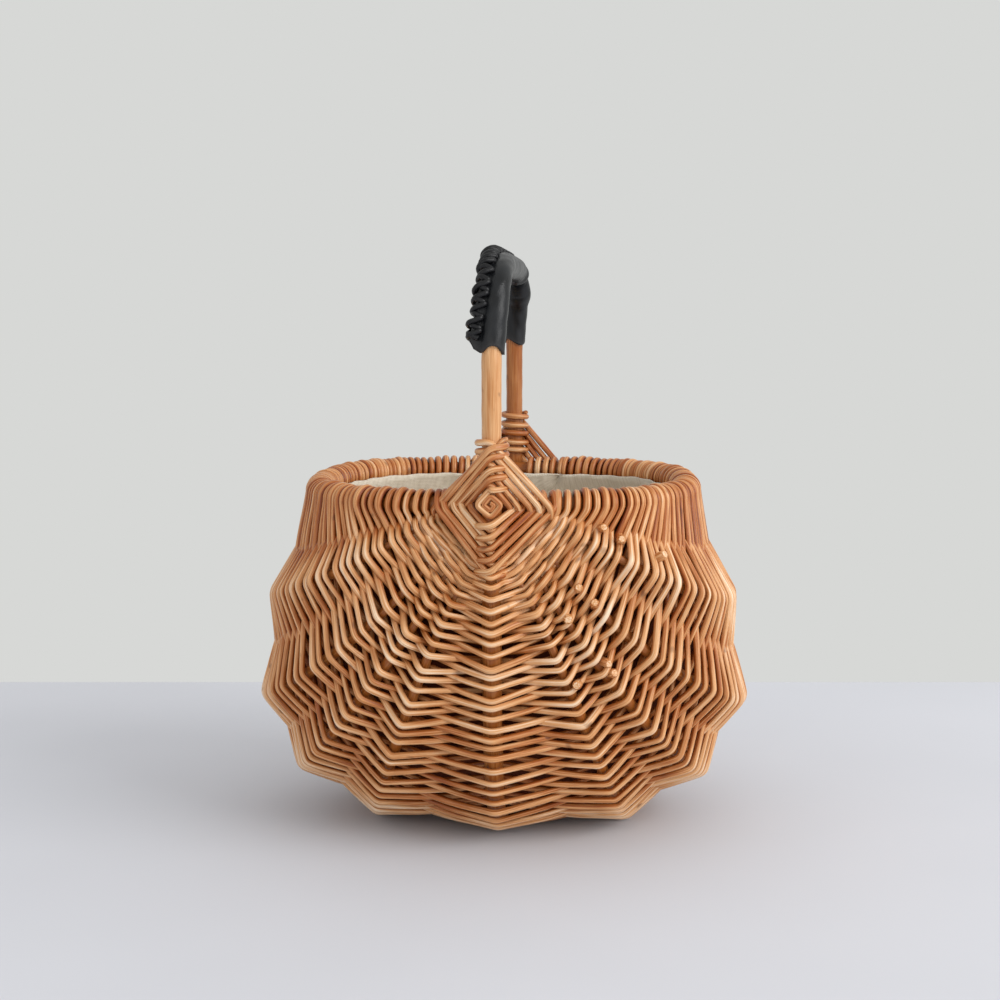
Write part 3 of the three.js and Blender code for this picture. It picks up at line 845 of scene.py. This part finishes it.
def lining_ring(share):
    """The cloth from rim to rim behind one row of the weave."""
    centres, out, along, radii = crossings(np.full(LAST + 1, share))
    seats = radii + WEAVERS_THICK
    reach = np.maximum(*(stand_offs(centres, out, along, seats, row) for row in (0, 1))) + LINING_GAP
    ring = centres - out * reach[:, None]
    for end in (0, LAST):
        inwards = unit(np.cross(along[end], Z_AXIS))
        inwards *= -np.sign(inwards.dot(centres[end] * (1, 1, 0)))
        ring[end] = centres[end] + inwards * LINING_INSET_RIM
        ring[end][2] = RIM_HEIGHT - TOP_DROP
    return ring


def lining_end(face, ring):
    """The cloth's edge along the rim behind a lashing."""
    over = np.abs(ring[:, 0] / RIM_HALF_WIDTH) ** RIM_SQUARENESS
    depth = RIM_HALF_DEPTH * (1 - over) ** (1 / RIM_SQUARENESS) - LINING_INSET_RIM - LINING_END_GAP
    return np.stack([ring[:, 0], face * depth, np.full(LAST + 1, RIM_HEIGHT - TOP_DROP)], axis=1)


rings = [lining_ring(share) for share in np.linspace(0.0, 1.0, CLOTH_ROWS + 1)]
front, rear = lining_end(-1, rings[0]), lining_end(1, rings[-1])
end_shares = np.linspace(0.0, 1.0, END_ROWS + 1)
rings = [blend(front, rings[0], share) for share in end_shares[:-1]] + rings
rings += [blend(rings[-1], rear, share) for share in end_shares[1:]]
stake_places = np.linspace(0.0, 1.0, LAST + 1)
columns = np.linspace(0.0, 1.0, CLOTH_COLUMNS + 1)
sheet = np.array([smooth_through(ring, columns, stake_places) for ring in rings])
normals = np.cross(np.gradient(sheet, axis=1), np.gradient(sheet, axis=0))
normals /= np.maximum(np.linalg.norm(normals, axis=2), 1e-9)[..., None]
normals *= np.sign(np.einsum("ijk,ijk->ij", normals, INSIDE - sheet))[..., None]
row_at, column_at = np.meshgrid(np.arange(len(rings)), np.arange(CLOTH_COLUMNS + 1), indexing="ij")
from_top = np.minimum(column_at, CLOTH_COLUMNS - column_at) / CLOTH_COLUMNS * 2
pucker = np.sin(row_at * 1.35) + 0.6 * np.sin(row_at * 0.61 + 1.0)
pucker = np.exp(-((from_top / PUCKER_DOWN_TO) ** 2)) * pucker
slack = np.sin(row_at * 0.37 + column_at * 0.21) + np.sin(row_at * 0.23 - column_at * 0.31 + 2.0)
sheet += normals * (CLOTH_PROUD + PUCKER * pucker + SLACK * slack)[..., None]
inner_face = (sheet + normals * CLOTH_HALF).reshape(-1, 3)
outer_face = (sheet - normals * CLOTH_HALF).reshape(-1, 3)
corner = np.arange(len(inner_face)).reshape(sheet.shape[:2])
faces = np.stack([corner[:-1, :-1], corner[:-1, 1:], corner[1:, 1:], corner[1:, :-1]], axis=2)
faces = faces.reshape(-1, 4).tolist()
backs = [[index + len(inner_face) for index in face][::-1] for face in faces]
edge = np.concatenate([corner[:, 0], corner[-1, 1:], corner[-2::-1, -1], corner[0, -2:0:-1]]).tolist()
hems = [
    [a, b, b + len(inner_face), a + len(inner_face)] for a, b in zip(edge, edge[1:] + edge[:1])
]
down = np.cumsum(np.linalg.norm(np.diff(sheet, axis=1), axis=2), axis=1)
down = np.pad(down, ((0, 0), (1, 0)))
along_bag = lengths_along(sheet[:, (CLOTH_COLUMNS + 1) // 2])
along_bag = np.broadcast_to(along_bag[:, None], down.shape)
cloth = np.stack([down, along_bag, np.zeros_like(down)], axis=2).reshape(-1, 3)

# Plain woven linen: a matt warm greige with a faint check of uneven threads. They lie about 0.5 mm apart and
# are drawn at 1.15 mm so that they show. A wave texture's period is pi / 10 at scale 1.
linen, tree, cloth_skin = new_material("plain_woven_linen")
weft = add_node(tree, "ShaderNodeAttribute", {}, attribute_name="cloth").outputs["Vector"]
threads = []
for direction in ("X", "Y"):
    thread = add_node(
        tree, "ShaderNodeTexWave",
        {"Vector": weft, "Scale": math.pi / 10 / THREAD_MM, "Distortion": 1.2, "Detail": 2.0,
         "Detail Scale": 0.6},
        bands_direction=direction,
    )
    threads.append(thread.outputs["Fac"])
slub = add_node(tree, "ShaderNodeTexNoise", {"Vector": weft, "Scale": 1 / SLUB_MM, "Detail": 4.0})
crossed = add_node(tree, "ShaderNodeMath", {0: threads[0], 1: threads[1]}, operation="ADD")
woven = add_node(
    tree, "ShaderNodeMath", {0: crossed.outputs[0], 1: 0.28, 2: slub.outputs["Fac"]}, operation="MULTIPLY_ADD"
)
colour = add_node(
    tree, "ShaderNodeValToRGB", {"Fac": woven.outputs[0]},
    [(0.35, "#c4b6a0"), (0.75, "#dfd3bf"), (1.0, "#ece2d1")],
)
bump = add_node(
    tree, "ShaderNodeBump", {"Height": crossed.outputs[0], "Strength": 0.5, "Distance": 0.25 * MM}
)
set_inputs(tree, cloth_skin, {
    "Base Color": colour.outputs[0], "Normal": bump.outputs[0], "Roughness": 0.92, "Sheen Weight": 0.15,
})

# Painted shade on the lining's outer face: matt and dark brown, it gives the gaps of the weave their depth
gap_shade_sheet, tree, gap_shade_skin = new_material("painted_gap_shade")
weft = add_node(tree, "ShaderNodeAttribute", {}, attribute_name="cloth").outputs["Vector"]
slub = add_node(tree, "ShaderNodeTexNoise", {"Vector": weft, "Scale": 1 / GAP_SHADE_SLUB_MM, "Detail": 4.0})
colour = add_node(
    tree, "ShaderNodeValToRGB", {"Fac": slub.outputs["Fac"]}, [(0.3, "#56200a"), (0.7, "#6e3113")]
)
set_inputs(tree, gap_shade_skin, {"Base Color": colour.outputs[0], "Roughness": 0.95})

lining = make_piece(
    "lining_bag", np.concatenate([inner_face, outer_face]), faces + backs + hems, [linen, gap_shade_sheet],
    cloth=np.concatenate([cloth, cloth]),
)
# The outer face takes the painted shade, the inner face and the hem the linen
which = np.array([0] * len(faces) + [1] * len(backs) + [0] * len(hems), dtype=np.int32)
lining.data.polygons.foreach_set("material_index", which)
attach(lining, "root")
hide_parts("lining")

# Leather grip
# A strip of black leather wrapped round the top of the handle, its long edges brought together into
# a standing seam: on the left at the front end, on top of the arch. Creased in the bends, worn at the edges.
GRIP_END_HEIGHT = 292.0
GRIP_RADIUS = 7.2
GRIP_LEAST_RADIUS = 6.1
GRIP_STATIONS = 280
BORE = 5.6
SEAM_EDGE = 10.4
SEAM_HALF = 1.9
SEAM_TURNS = (8.0, 46.0)
SEAM_TURNED_BY = 0.22
SEAM_FLARE = 0.22
FLARE_MM = 22.0
END_CURVE_MM = 16.0
BENDS_AT, BENDS_LONG = (0.2, 0.8), 0.07
CREASE, CREASE_MM = 0.3, 12.5
LUMP = 0.25
FOLD_AT = 0.80
PORE_MM = 0.8
CLOUD_MM = 9.0

known = lengths_along(arch_line)
rising = np.argmax(arch_line[:, 2] > GRIP_END_HEIGHT)
beside_end = slice(rising - 1, rising + 1)
grip_start = float(np.interp(GRIP_END_HEIGHT, arch_line[beside_end, 2], known[beside_end]))
grip_long = known[-1] - 2 * grip_start


def on_grip(share, u, v):
    """Points at a share of the grip's length, u from the rod's centre towards the seam and v across it."""
    share, u, v = np.broadcast_arrays(np.asarray(share, dtype=float), u, v)
    at = grip_start + share * grip_long
    here = point_at(arch_line, at)
    ahead = point_at(arch_line, at + 0.5) - point_at(arch_line, at - 0.5)
    ahead /= np.linalg.norm(ahead, axis=-1)[..., None]
    upper = np.cross(ahead, np.broadcast_to(-X_AXIS, ahead.shape))
    turned = np.radians(blend(*SEAM_TURNS, eased(share / SEAM_TURNED_BY)))[..., None]
    to_seam = np.cos(turned) * -X_AXIS + np.sin(turned) * upper
    aside = np.cos(turned) * upper + np.sin(turned) * X_AXIS
    return here + to_seam * u[..., None] + aside * v[..., None]


def hump(place, middle, width, squareness=2):
    """1 at the middle, falling to 0 on both sides."""
    return np.exp(-(((place - middle) / width) ** squareness))


# Half of the leather's outline, from the edge of the seam round to the far side
half_outline = [
    (SEAM_EDGE - 0.5, 0.0), (SEAM_EDGE - 0.1, 0.35), (SEAM_EDGE, 0.8), (SEAM_EDGE - 0.15, SEAM_HALF - 0.1),
    (SEAM_EDGE - 1.0, SEAM_HALF), (SEAM_EDGE - 2.2, SEAM_HALF + 0.5),
]
for turn in np.radians(np.linspace(28, 180, 22)):
    half_outline.append((GRIP_RADIUS * math.cos(turn), GRIP_RADIUS * math.sin(turn)))
outline = np.array(half_outline + [(u, -v) for u, v in half_outline[-2:0:-1]])
around = len(outline)
turn = np.arctan2(outline[:, 1], outline[:, 0])
stations = np.linspace(0.0, 1.0, GRIP_STATIONS + 1)
from_end = np.minimum(stations, 1 - stations) * grip_long
# The cut ends are cut back a little at the sides and more at the edge of the seam
end_drop = 4.5 * np.cos(turn) ** 2 - 1.5 - 7.0 * np.clip((outline[:, 0] - 7.0) / 3.0, 0, 1)
near_end = np.sign(0.5 - stations) * np.exp(-from_end / END_CURVE_MM)
share = stations[:, None] - near_end[:, None] * end_drop / grip_long
flare = 1.0 + SEAM_FLARE * np.exp(-from_end / FLARE_MM)
# Creases on the hollow side of both bends, and one deep fold in the rear one
bends = hump(stations, BENDS_AT[0], BENDS_LONG) + hump(stations, BENDS_AT[1], BENDS_LONG)
hollow_side = np.clip(-np.cos(turn - math.radians(30)), 0, 1)
ripple = np.sin(stations[:, None] * grip_long * 2 * math.pi / CREASE_MM + 1.3 * np.sin(3 * turn))
crease = bends[:, None] * hollow_side * ripple
past_fold = (stations - FOLD_AT) * grip_long
in_fold = hump(past_fold, 7.0, 6.5, 4)
fold = 2.4 * hump(past_fold, 25.0, 7.0) + 1.6 * hump(past_fold, -5.0, 4.0) - 1.5 * in_fold
fold_side = np.clip(0.35 - np.cos(turn - math.radians(25)), 0, 1)
lump = uneven(stations[:, None] * grip_long + 9 * np.cos(turn), LUMP, ((33, 0.3), (19, 2.2), (11, 1.0)))
swell = 1.0 + (CREASE * crease + lump + fold[:, None] * fold_side) / GRIP_RADIUS
swell = np.maximum(swell, GRIP_LEAST_RADIUS / GRIP_RADIUS)
u = outline[:, 0] * swell * np.where(outline[:, 0] > GRIP_RADIUS, flare[:, None], 1.0)
outer = on_grip(share, u, outline[:, 1] * swell)
to_bore = BORE / np.hypot(outline[:, 0], outline[:, 1])
bores = [on_grip(share[end], outline[:, 0] * to_bore, outline[:, 1] * to_bore) for end in (0, -1)]
points = np.concatenate([outer.reshape(-1, 3), *bores])
faces = []
for station in range(GRIP_STATIONS):
    for spot in range(around):
        a, b = station * around + spot, station * around + (spot + 1) % around
        faces.append([a, a + around, b + around, b])
last = GRIP_STATIONS * around
first_bore, last_bore = last + around, last + 2 * around
for spot in range(around):
    beside = (spot + 1) % around
    faces.append([spot, beside, first_bore + beside, first_bore + spot])
    faces.append([last + beside, last + spot, last_bore + spot, last_bore + beside])
edge_wear = np.maximum(np.exp(-from_end / 1.6)[:, None], (outline[:, 0] > SEAM_EDGE - 0.3) * 0.7)
edge_wear = np.concatenate([edge_wear.ravel(), np.ones(2 * around)])
# Where the fold's reflection is turned down as painted shade
fold_depth = np.concatenate([(in_fold[:, None] * fold_side).ravel(), np.zeros(2 * around)])

# Black cowhide, dyed through and waxed: near black with cloudy satin gloss and greyer on rubbed edges; in the
# fold its reflection is turned down as painted shade. Its pores, about 0.2 mm apart, are drawn at 0.8 mm so
# that they show.
leather, tree, hide_skin = new_material("black_cowhide")
place = add_node(tree, "ShaderNodeTexCoord", {}).outputs["Object"]
wear = add_node(tree, "ShaderNodeAttribute", {}, attribute_name="wear").outputs["Fac"]
painted_fold_shade = add_node(tree, "ShaderNodeAttribute", {}, attribute_name="fold").outputs["Fac"]
pores = add_node(tree, "ShaderNodeTexVoronoi", {"Vector": place, "Scale": 1 / (PORE_MM * MM)})
cloudy = add_node(
    tree, "ShaderNodeTexNoise", {"Vector": place, "Scale": 1 / (CLOUD_MM * MM), "Detail": 5.0}
).outputs["Fac"]
colour = add_node(tree, "ShaderNodeValToRGB", {"Fac": cloudy}, [(0.3, "#0b0c0e"), (0.7, "#16181b")])
worn = add_node(tree, "ShaderNodeMath", {0: wear, 1: cloudy}, operation="MULTIPLY")
tinted = add_node(
    tree, "ShaderNodeMix", {"Factor": worn.outputs[0], 6: colour.outputs[0], 7: linear("#3f3c3b")},
    data_type="RGBA",
)
# Painted shade: the reflection is turned down in the fold
shine = add_node(tree, "ShaderNodeMapRange", {"Value": painted_fold_shade, "To Min": 0.36, "To Max": 0.03})
gloss = add_node(
    tree, "ShaderNodeMapRange",
    {"Value": cloudy, "From Min": 0.3, "From Max": 0.7, "To Min": 0.30, "To Max": 0.46},
)
bump = add_node(
    tree, "ShaderNodeBump", {"Height": pores.outputs["Distance"], "Strength": 0.35, "Distance": 0.15 * MM}
)
set_inputs(tree, hide_skin, {
    "Base Color": tinted.outputs[2], "Specular IOR Level": shine.outputs[0], "Roughness": gloss.outputs[0],
    "Normal": bump.outputs[0],
})

leather_grip = make_piece("leather_grip", points, faces, [leather], wear=edge_wear, fold=fold_depth)
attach(leather_grip, "root")
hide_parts("grip_sleeve")

# Grip lacing
# Two runs of round black leather lace, whipped over the standing seam in opposite senses through one row
# of holes on each side, so that they cross on both faces and on the edge and read as a thick plait.
LACE_RADIUS = 1.62
LACE_SIDES = 8
LACE_SLACK = 0.05
LACE_DRIFT = 0.13
LACE_ENDS_SHORT = 0.016
SCUFF_MM = (0.4545, 0.4545, 2.0)
STITCHES = 46
HOLE = (6.5, 4.3)
# The sense of each run, and how far it is raised above the other
RUNS = ((1, 0.0), (-1, 0.8))


def lace_way(sense, raised):
    over = SEAM_EDGE + 0.25 * LACE_RADIUS + raised
    flank = SEAM_HALF + 0.6 * LACE_RADIUS + raised
    half_turn = ((HOLE[0], HOLE[1] + raised, 0.03), (8.7, flank + 0.4, 0.24), (over, 0.7 * flank, 0.42))
    stops = half_turn + tuple((u, -v, 1 - along) for u, v, along in half_turn[::-1])
    way = []
    for stitch in range(STITCHES):
        slack = 1.0 + LACE_SLACK * math.sin(2.4 * stitch + sense)
        drift = LACE_DRIFT * math.sin(1.7 * stitch + 2 * sense)
        for u, v, along in stops:
            spot = (stitch + along + drift) / STITCHES
            end = min(spot, 1 - spot) * grip_long
            flared = slack * (1.0 + SEAM_FLARE * math.exp(-end / FLARE_MM))
            way.append(on_grip(blend(LACE_ENDS_SHORT, 1 - LACE_ENDS_SHORT, spot), u * flared, sense * v))
    return rounded(np.array(way))


# Round leather lace, cut and rolled: black with greyer scuffs along it and a dull gloss
lace_leather, tree, lace_skin = new_material("round_leather_lace")
grain = add_node(tree, "ShaderNodeAttribute", {}, attribute_name="grain").outputs["Vector"]
place = add_node(
    tree, "ShaderNodeVectorMath", {0: grain, 1: [1 / mm for mm in SCUFF_MM]}, operation="MULTIPLY"
)
scuff = add_node(
    tree, "ShaderNodeTexNoise", {"Vector": place.outputs[0], "Scale": 1.0, "Detail": 4.0}
).outputs["Fac"]
colour = add_node(tree, "ShaderNodeValToRGB", {"Fac": scuff}, [(0.35, "#08080a"), (0.75, "#151518")])
gloss = add_node(
    tree, "ShaderNodeMapRange",
    {"Value": scuff, "From Min": 0.3, "From Max": 0.7, "To Min": 0.32, "To Max": 0.5},
)
bump = add_node(tree, "ShaderNodeBump", {"Height": scuff, "Strength": 0.4, "Distance": 0.15 * MM})
set_inputs(tree, lace_skin, {
    "Base Color": colour.outputs[0], "Roughness": gloss.outputs[0], "Normal": bump.outputs[0],
    "Specular IOR Level": 0.36,
})

points, faces, grain = join(
    [tube(lace_way(sense, raised), LACE_RADIUS, LACE_SIDES, ANY_SIDE) for sense, raised in RUNS]
)
lacing = make_piece("grip_lacing", points, faces, [lace_leather], grain=grain)
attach(lacing, "root")
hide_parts("grip_lace")

# Table, light and camera
# A plain white cloth-covered table that ends behind the basket, in front of a pale grey wall. A large soft
# window light from the right, a weak fill from the front, and the camera where the photograph was taken.
TABLE_HALF_WIDTH = 4.0
TABLE_NEAR_EDGE = -5.0
TABLE_FAR_EDGE = 0.362
TABLE_SKEW = 0.0624
TABLE_CLOUD_MM = 333.3
table = bpy.data.objects.new("table_top", bpy.data.meshes.new("table_top"))
table.data.from_pydata(
    [
        (-TABLE_HALF_WIDTH, TABLE_NEAR_EDGE, 0), (TABLE_HALF_WIDTH, TABLE_NEAR_EDGE, 0),
        (TABLE_HALF_WIDTH, TABLE_FAR_EDGE + TABLE_HALF_WIDTH * TABLE_SKEW, 0),
        (-TABLE_HALF_WIDTH, TABLE_FAR_EDGE - TABLE_HALF_WIDTH * TABLE_SKEW, 0),
    ],
    [], [(0, 1, 2, 3)],
)
bpy.context.collection.objects.link(table)
# White cotton, plain woven and ironed: matt and cool white, clouded so slowly that it looks even
cotton, tree, cotton_skin = new_material("white_table_cotton")
place = add_node(tree, "ShaderNodeTexCoord", {}).outputs["Object"]
clouded = add_node(
    tree, "ShaderNodeTexNoise", {"Vector": place, "Scale": 1 / (TABLE_CLOUD_MM * MM), "Detail": 3.0}
)
colour = add_node(
    tree, "ShaderNodeValToRGB", {"Fac": clouded.outputs["Fac"]}, [(0.3, "#cfd0d5"), (0.7, "#d4d5da")]
)
set_inputs(tree, cotton_skin, {"Base Color": colour.outputs[0], "Roughness": 0.9})
table.data.materials.append(cotton)

# The room lights the basket a little more from the right. The wall is what the camera and reflections see.
world = bpy.data.worlds.new("pale_room")
bpy.context.scene.world = world
world.use_nodes = True
tree = world.node_tree
rays = add_node(tree, "ShaderNodeLightPath", {}).outputs
seen = add_node(
    tree, "ShaderNodeMath", {0: rays["Is Camera Ray"], 1: rays["Is Glossy Ray"]}, operation="MAXIMUM"
)
seen = add_node(
    tree, "ShaderNodeMath", {0: seen.outputs[0], 1: rays["Is Transmission Ray"]}, operation="MAXIMUM"
)
direction = add_node(tree, "ShaderNodeTexCoord", {}).outputs["Generated"]
direction = add_node(tree, "ShaderNodeSeparateXYZ", {0: direction})
brighter = add_node(
    tree, "ShaderNodeMath", {0: direction.outputs["X"], 1: 0.18, 2: 0.90}, operation="MULTIPLY_ADD"
)
room = add_node(
    tree, "ShaderNodeBackground", {"Color": linear("#f2f3f4"), "Strength": brighter.outputs[0]}
)
wall = add_node(tree, "ShaderNodeBackground", {"Color": linear("#d7d8d6"), "Strength": 1.0})
mixed = add_node(tree, "ShaderNodeMixShader", {0: seen.outputs[0], 1: room.outputs[0], 2: wall.outputs[0]})
set_inputs(tree, tree.nodes["World Output"], {"Surface": mixed.outputs[0]})

for name, place, target, size, watts in (
    ("window", (2.8, -1.5, 1.7), (0.0, 0.0, 0.12), 2.4, 78.0),
    ("front_fill", (-0.8, -2.4, 0.7), (0.0, 0.0, 0.08), 1.8, 6.0),
):
    lamp = bpy.data.lights.new(name, "AREA")
    lamp.shape = "SQUARE"
    lamp.size = size
    lamp.energy = watts
    held = bpy.data.objects.new(name, lamp)
    held.location = place
    aim = np.array(target) - np.array(place)
    tilt = math.atan2(math.hypot(aim[0], aim[1]), -aim[2])
    held.rotation_euler = (tilt, 0.0, math.atan2(aim[1], aim[0]) - math.pi / 2)
    bpy.context.collection.objects.link(held)

CAMERA_DOWN = 6.574
CAMERA_LEFT = 3.57
lens = bpy.data.cameras.new("camera")
lens.sensor_width = 36.0
lens.lens = 61.49
lens.clip_end = 100.0
camera = bpy.data.objects.new("camera", lens)
camera.location = (0.0628, -1.0481, 0.317)
camera.rotation_euler = (math.radians(90 - CAMERA_DOWN), 0.0, math.radians(CAMERA_LEFT))
bpy.context.collection.objects.link(camera)
bpy.context.scene.camera = camera
bpy.context.scene.view_settings.view_transform = "Standard"
